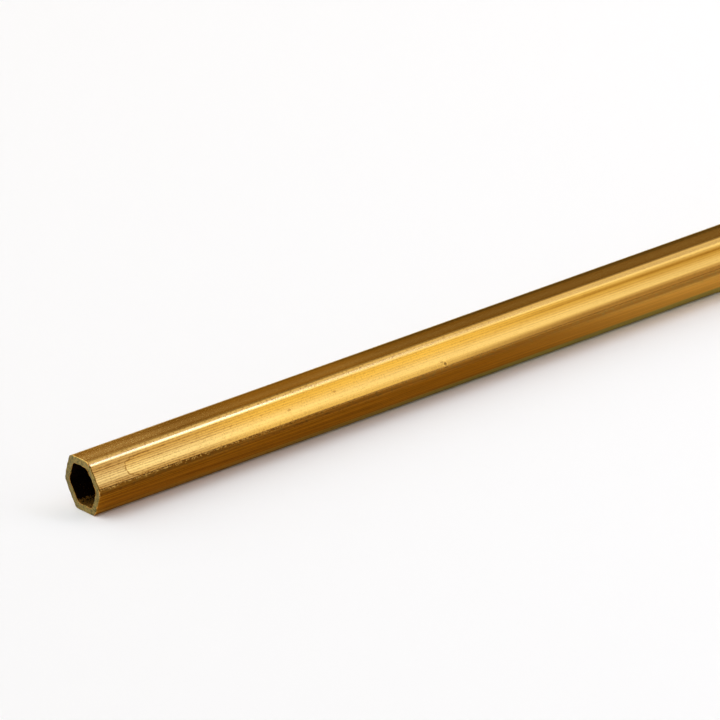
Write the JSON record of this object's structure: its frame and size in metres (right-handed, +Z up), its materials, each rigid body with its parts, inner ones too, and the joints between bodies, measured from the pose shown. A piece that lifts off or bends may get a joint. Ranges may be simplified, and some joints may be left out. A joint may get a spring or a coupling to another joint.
{
  "type": "hexagonal brass tube",
  "caption": "Straight cut length of drawn hexagonal brass tube with rounded corners, an even wall, a hexagonal bore right through and square sawn ends.",
  "frame": {"origin": "on the surface that the tube rests on, under the middle of its length", "axes": "+X along the tube, +Z up through the middle of the top flat, +Y across it, towards a corner"},
  "size_m": [0.3, 0.0088, 0.008],
  "materials": {
    "drawn_brass": "drawn, with fine lengthwise lines, lightly tarnished; sawn ends matt"
  },
  "bodies": {
    "root": {"hex_tube": "drawn_brass"}
  },
  "joints": []
}
